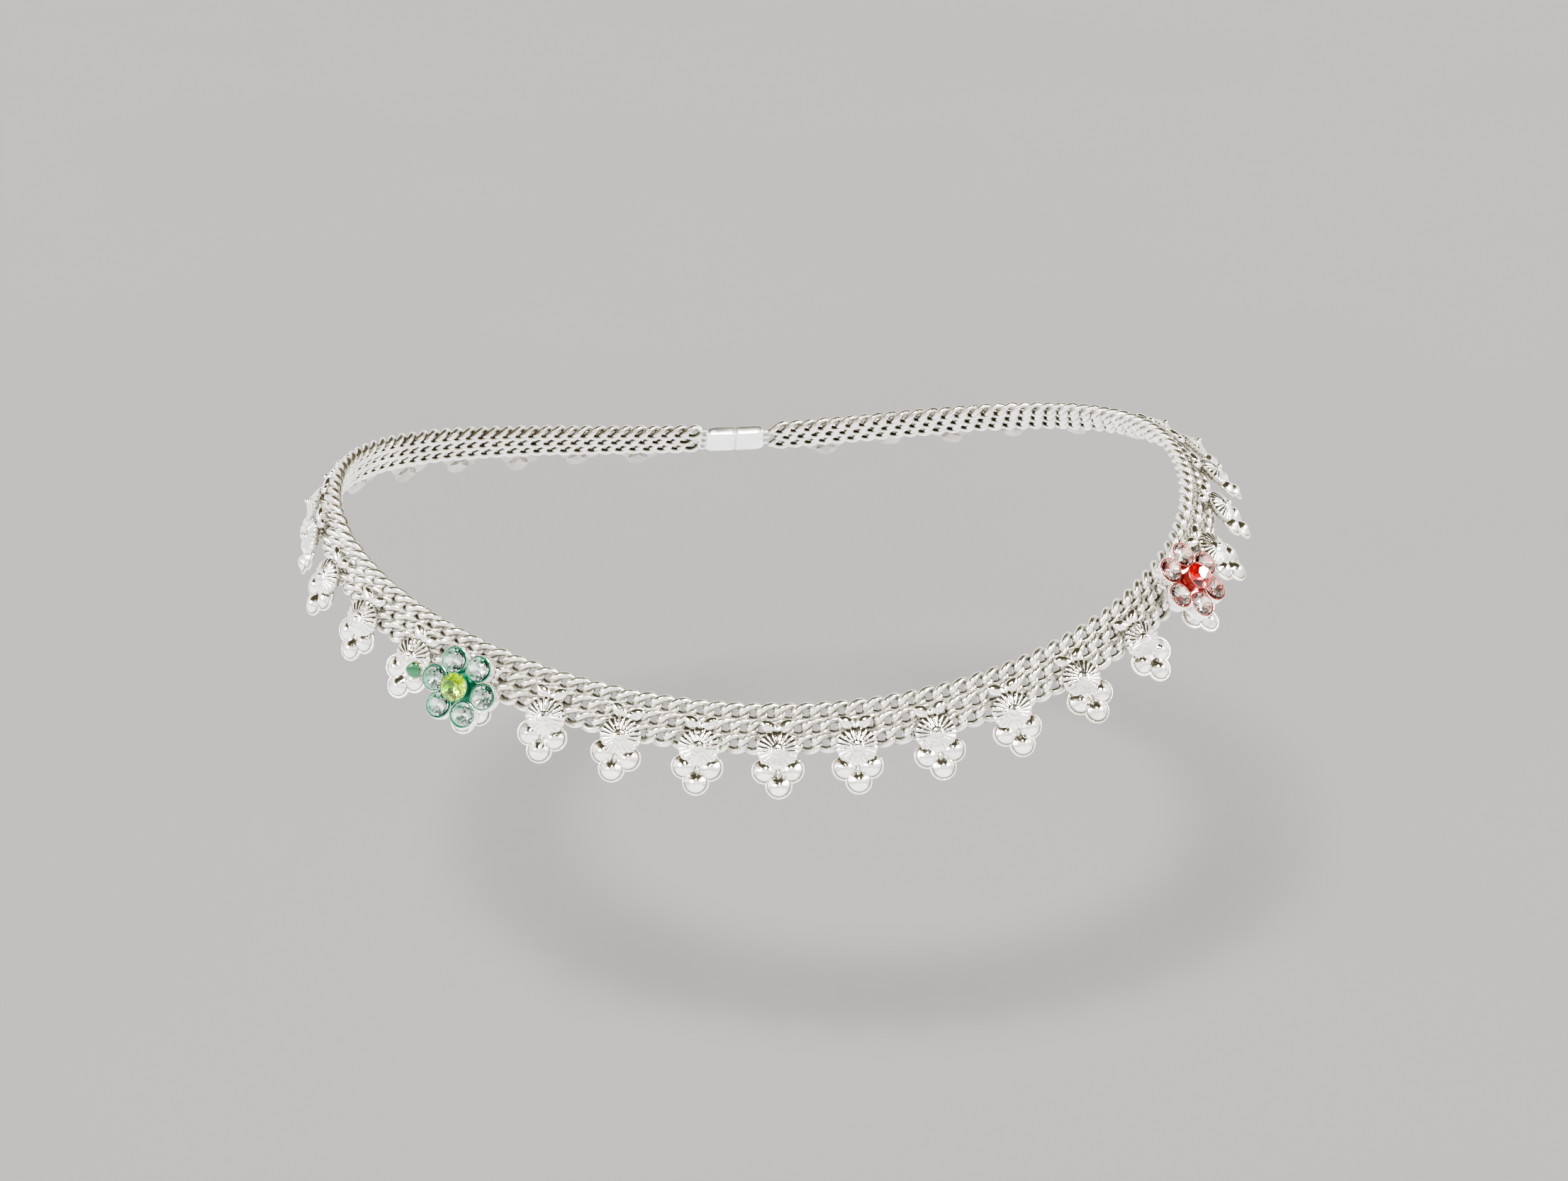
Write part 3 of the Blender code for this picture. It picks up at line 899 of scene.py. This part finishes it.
def scallop_ring(inset, height, radius_share=1.0):
    """The six-lobed outline, drawn in by an inset, sizes in mm."""
    ring_radius = PETAL_RING / MM
    radius = PETAL_STONE_RADIUS / MM + SCALLOP_MARGIN - inset
    lobe = 2 * math.pi / PETAL_COUNT
    half_lobe = math.pi / PETAL_COUNT
    ring = []
    for i in range(SCALLOP_STEPS):
        angle = 2 * math.pi * i / SCALLOP_STEPS
        offset = (angle + half_lobe) % lobe - half_lobe
        inside = max(radius ** 2 - (ring_radius * math.sin(offset)) ** 2, 0.0)
        reach = (ring_radius * math.cos(offset) + math.sqrt(inside)) * radius_share
        ring.append((reach * math.cos(angle) * MM, reach * math.sin(angle) * MM, height * MM))
    return ring


def petal_seat(petal):
    """The angle of a petal and the move to its middle."""
    angle = petal * 2 * math.pi / PETAL_COUNT
    middle = (PETAL_RING * math.cos(angle), PETAL_RING * math.sin(angle), 0.0)
    return angle, Matrix.Translation(middle)


def flower_rim_form():
    """Silver plate under the enamel, with a low wall round each stone and a foot below."""
    rings = [scallop_ring(0.12, 0.42), scallop_ring(0.10, 0.60), scallop_ring(0.05, 0.66)]
    rings += [scallop_ring(0.0, 0.62), scallop_ring(0.0, 0.06), scallop_ring(0.04, 0.0)]
    points, faces = ring_shape(rings, (0.0, 0.0, 0.42 * MM), (0.0, 0.0, 0.0))
    form = Form()
    form.add(points, faces, 0.0)
    wall = [(1.30, 0.50), (1.32, 1.04), (1.35, 1.10), (1.39, 1.08), (1.42, 0.98), (1.44, 0.50)]
    for petal in range(PETAL_COUNT):
        points, faces = lathe(wall, WALL_SIDES, closed=False)
        form.add(points, faces, 0.0, petal_seat(petal)[1])
    foot = [(0.5, 0.1), (0.5, -0.90), (0.7, -1.10)]
    points, faces = lathe(foot, 20)
    form.add(points, faces, 0.3)
    return form


def flower_enamel_form():
    """Enamel: a filled scalloped field, a cup wall round each stone and a raised middle cup."""
    form = Form()
    rings = [scallop_ring(0.0, 0.54, radius_share=0.5)]
    rings += [scallop_ring(0.24, 0.54), scallop_ring(0.20, 0.44)]
    points, faces = ring_shape(rings, (0.0, 0.0, 0.54 * MM), (0.0, 0.0, 0.44 * MM))
    form.add(points, faces, 0.0)
    wall = [(1.17, 0.50), (1.185, 1.00), (1.22, 1.12), (1.27, 1.14), (1.31, 1.08), (1.33, 0.50)]
    for petal in range(PETAL_COUNT):
        points, faces = lathe(wall, WALL_SIDES, closed=False)
        wear = [0.35 if point[2] > 1.1 * MM else 0.0 for point in points]
        form.add(points, faces, wear, petal_seat(petal)[1])
    cup = [(1.30, 2.02), (1.40, 2.34), (1.46, 2.40), (1.50, 2.30), (1.36, 1.95)]
    cup += [(1.12, 1.45), (1.05, 0.7)]
    points, faces = lathe(cup, CUP_SIDES, closed=False)
    wear = [0.6 if point[2] > 2.3 * MM else 0.0 for point in points]
    form.add(points, faces, wear)
    return form


def make_petal_stones(colour, place, backing):
    """Clear stones, each tipped its own way, and the foil cups under them as one piece."""
    # The length of the colour's name is the seed, so the two flowers differ
    rng = random.Random(len(colour))
    foils = Form()
    for petal in range(PETAL_COUNT):
        angle, seat = petal_seat(petal)
        points, faces, _ = brilliant(radius=1.19, girdle=1.10, crown=0.44, pavilion=0.38)
        spun = Matrix.Rotation(angle + rng.uniform(-0.3, 0.3), 4, "Z")
        tip = math.radians(rng.choice((-1, 1)) * rng.uniform(2.5, 4.5))
        tipped = Matrix.Rotation(tip, 4, "X")
        stone = Form()
        stone.add(points, faces, 0.0, place @ seat @ spun @ tipped)
        number = str(petal + 1)
        replaced = [colour + "_petal_stone_" + number]
        make_piece(colour + "_petal_gem_" + number, stone, CLEAR, replaced)
        shell, _, under = brilliant(radius=1.20, girdle=1.08, crown=0.44, pavilion=0.41)
        shell = moved(shell, seat @ spun @ tipped)
        # Painted reflection: the foil takes the enamel's colour towards the stone's outer side
        wear = []
        for x, y, _ in shell:
            outward = (x * math.cos(angle) + y * math.sin(angle) - PETAL_RING) / FOIL_RADIUS
            wear.append(clamp((outward - 0.05) / 0.35))
        foils.add(shell, [face[::-1] for face in under], wear)
    placed = Form()
    placed.join(foils, place)
    make_piece(colour + "_petal_foils", placed, backing)


def make_centre_stone(colour, place, glass, backing):
    """The raised coloured stone and the foil cup under it."""
    points, faces, _ = brilliant(radius=1.42, girdle=2.32, crown=0.62, pavilion=0.95, table=0.52)
    stone = Form()
    stone.add(points, faces, 0.0, place)
    make_piece(colour + "_centre_gem", stone, glass, [colour + "_centre_stone"])
    shell, _, under = brilliant(radius=1.45, girdle=2.32, crown=0.62, pavilion=1.0, table=0.52)
    cup = Form()
    # Painted reflection: every third point takes the foil's darker tint, so the facets read light
    # and dark
    wear = [0.8 if i % 3 == 0 else 0.0 for i in range(len(shell))]
    cup.add(shell, [face[::-1] for face in under], wear, place)
    make_piece(colour + "_centre_foil", cup, backing)


def make_flower(colour, place, coat, backing, glass, glass_backing):
    """A flower: rim, enamel, foil-backed clear stones and a raised coloured stone."""
    plate = [colour + "_flower_plate"]
    rim = Form()
    rim.join(flower_rim_form(), place)
    make_piece(colour + "_flower_rim", rim, STAMPED, plate, sharp=40.0)
    field = Form()
    field.join(flower_enamel_form(), place)
    name = colour + "_flower_enamel"
    make_piece(name, field, coat, plate, sharp=40.0)
    make_petal_stones(colour, place, backing)
    make_centre_stone(colour, place, glass, glass_backing)


def make_flowers():
    """The green flower and the red one."""
    place = seat_matrix(
        motif_length(GREEN_MOTIF), GREEN_ACROSS, GREEN_DROP, FLOWER_SEAT, GREEN_TURN
    )
    make_flower("green", place, GREEN, GREEN_FOIL, PERIDOT, LIME_FOIL)
    place = seat_matrix(motif_length(RED_MOTIF), RED_ACROSS, RED_DROP, FLOWER_SEAT, RED_TURN)
    make_flower("red", place, RED, RED_FOIL, RUBY, RUBY_FOIL)


def make_dot():
    """The oval dot of colour on the cap beside the green flower."""
    reach = CAP_RADIUS * DOT_REACH
    slope = math.atan2(CAP_RISE, CAP_RADIUS - BOSS_RADIUS)
    surface = CAP_RIM_HEIGHT + (CAP_RADIUS - reach) * math.tan(slope)
    height = MOTIF_SEAT + surface + 0.02 * MM
    across = reach * math.cos(DOT_TURN)
    drop = CAP_DROP - reach * math.sin(DOT_TURN)
    place = seat_matrix(motif_length(DOT_MOTIF), across, drop, height, DOT_TURN)
    place = place @ Matrix.Rotation(slope, 4, "Y")
    profile = [(0.12, 0.40), (0.32, 0.385), (0.52, 0.35), (0.70, 0.27), (0.80, 0.18)]
    profile += [(0.86, 0.06), (0.88, -0.1)]
    points, faces = lathe(profile, 40)
    shaped = []
    wear = []
    for x, y, z in points:
        angle = math.atan2(y, x)
        wobble = 1 + 0.035 * math.sin(3 * angle + 0.6) + 0.02 * math.sin(5 * angle)
        shaped.append((x * wobble, y * wobble * 1.03, z))
        wear.append(1.0 if math.hypot(x, y) > 0.82 * MM else 0.0)
    form = Form()
    form.add(shaped, faces, wear, place)
    make_piece("green_paint_dot", form, PAINT, ["green_dot"], sharp=60.0)


# Stage


def make_floor():
    """A broad plain floor below the held-up anklet."""
    mesh = bpy.data.meshes.new("floor")
    corners = [
        (x * FLOOR_HALF_SIDE, y * FLOOR_HALF_SIDE, FLOOR_LEVEL)
        for x, y in ((-1, -1), (1, -1), (1, 1), (-1, 1))
    ]
    mesh.from_pydata(corners, [], [(0, 1, 2, 3)])
    mesh.materials.append(plain_floor("floor_paint"))
    item = bpy.data.objects.new("floor", mesh)
    bpy.context.scene.collection.objects.link(item)
    item.visible_glossy = False


def area_light(name, spot, aim, side, energy, colour):
    """A soft square light that shows in gloss and leaves matte surfaces alone."""
    data = bpy.data.lights.new(name, "AREA")
    data.shape = "RECTANGLE"
    data.size = side
    data.size_y = side
    data.energy = energy
    data.color = colour
    item = bpy.data.objects.new(name, data)
    bpy.context.scene.collection.objects.link(item)
    item.location = spot
    item.rotation_euler = (Vector(aim) - Vector(spot)).to_track_quat("-Z", "Y").to_euler()
    item.visible_diffuse = False


def sky_light(name, toward, energy, spread):
    """A soft even light from afar that leaves no spot in the silver."""
    data = bpy.data.lights.new(name, "SUN")
    data.energy = energy
    data.angle = math.radians(spread)
    item = bpy.data.objects.new(name, data)
    bpy.context.scene.collection.objects.link(item)
    item.rotation_euler = Vector(toward).to_track_quat("Z", "Y").to_euler()
    item.visible_glossy = False


def make_world():
    """A white room with one dark patch overhead, a little to the far side."""
    world = bpy.data.worlds.new("studio")
    bpy.context.scene.world = world
    world.use_nodes = True
    nodes = world.node_tree.nodes
    links = world.node_tree.links
    back = nodes["Background"]
    place = nodes.new("ShaderNodeTexCoord")
    toward = nodes.new("ShaderNodeVectorMath")
    toward.operation = "DOT_PRODUCT"
    toward.inputs[1].default_value = Vector(ROOM_DARK_SIDE).normalized()
    ramp = nodes.new("ShaderNodeValToRGB")
    links.new(place.outputs["Generated"], toward.inputs[0])
    near = range_node(nodes, links, toward.outputs["Value"], -1.0, 1.0, 0.0, 1.0)
    links.new(near, ramp.inputs["Fac"])
    marks = ramp.color_ramp.elements
    marks[0].position = 0.0
    marks[0].color = (*ROOM_FAR, 1.0)
    marks[1].position = 1.0
    marks[1].color = (*ROOM_NEAR, 1.0)
    for position, colour in ROOM_TONES:
        mark = marks.new(position)
        mark.color = (*colour, 1.0)
    links.new(ramp.outputs["Color"], back.inputs["Color"])
    back.inputs["Strength"].default_value = ROOM_STRENGTH


def make_lights():
    """An even light from afar, and lamps that glint in the silver and the red stone."""
    aim = (0.0, 0.0, 0.0)
    warm = (1.0, 0.985, 0.95)
    cream = (1.0, 0.985, 0.96)
    cool = (0.92, 0.92, 1.0)
    plain = (1.0, 1.0, 1.0)
    sky_light("soft sky", toward=(-0.25, -0.35, 0.9), energy=3.0, spread=18.0)
    area_light("lamp", (0.03, -0.22, 0.50), aim, side=0.10, energy=3.2, colour=warm)
    area_light("left panel", (-0.55, -0.25, 0.30), aim, PANEL_SIDE, PANEL_ENERGY, cool)
    # This one stands where the red flower's face mirrors it into the camera
    edge, _, _, out = band_frame(motif_length(RED_MOTIF))
    toward = (bpy.context.scene.camera.matrix_world.translation - edge).normalized()
    mirror = out * (2 * out.dot(toward)) - toward
    area_light("glint", edge + mirror * 0.5, edge, side=0.028, energy=0.5, colour=plain)
    area_light("right panel", (0.60, -0.10, 0.35), aim, PANEL_SIDE, PANEL_ENERGY, cream)


def make_camera():
    """The photograph's viewing angle, for an image of 2212 by 1666."""
    back = Vector(
        (
            math.sin(CAMERA_AZIMUTH) * math.cos(CAMERA_ELEVATION),
            -math.cos(CAMERA_AZIMUTH) * math.cos(CAMERA_ELEVATION),
            math.sin(CAMERA_ELEVATION),
        )
    )
    right = (-back).cross(Vector((0, 0, 1))).normalized()
    upward = right.cross(-back)
    level = right * math.cos(CAMERA_ROLL) + upward * math.sin(CAMERA_ROLL)
    above = upward * math.cos(CAMERA_ROLL) - right * math.sin(CAMERA_ROLL)
    data = bpy.data.cameras.new("camera")
    data.sensor_fit = "HORIZONTAL"
    data.sensor_width = SENSOR_WIDTH
    data.lens = FOCAL_PIXELS * SENSOR_WIDTH / IMAGE_WIDTH
    data.clip_start = 0.01
    data.clip_end = 20.0
    item = bpy.data.objects.new("camera", data)
    bpy.context.scene.collection.objects.link(item)
    spot = back * CAMERA_DISTANCE + right * CAMERA_RIGHT + upward * CAMERA_UP
    turned = Matrix((level, above, back)).transposed().to_4x4()
    item.matrix_world = Matrix.Translation(spot) @ turned
    bpy.context.scene.camera = item


make_chain()
make_clasp()
make_motifs()
make_flowers()
make_dot()
make_floor()
make_world()
bpy.context.scene.view_settings.look = "AgX - Medium High Contrast"
make_camera()
make_lights()
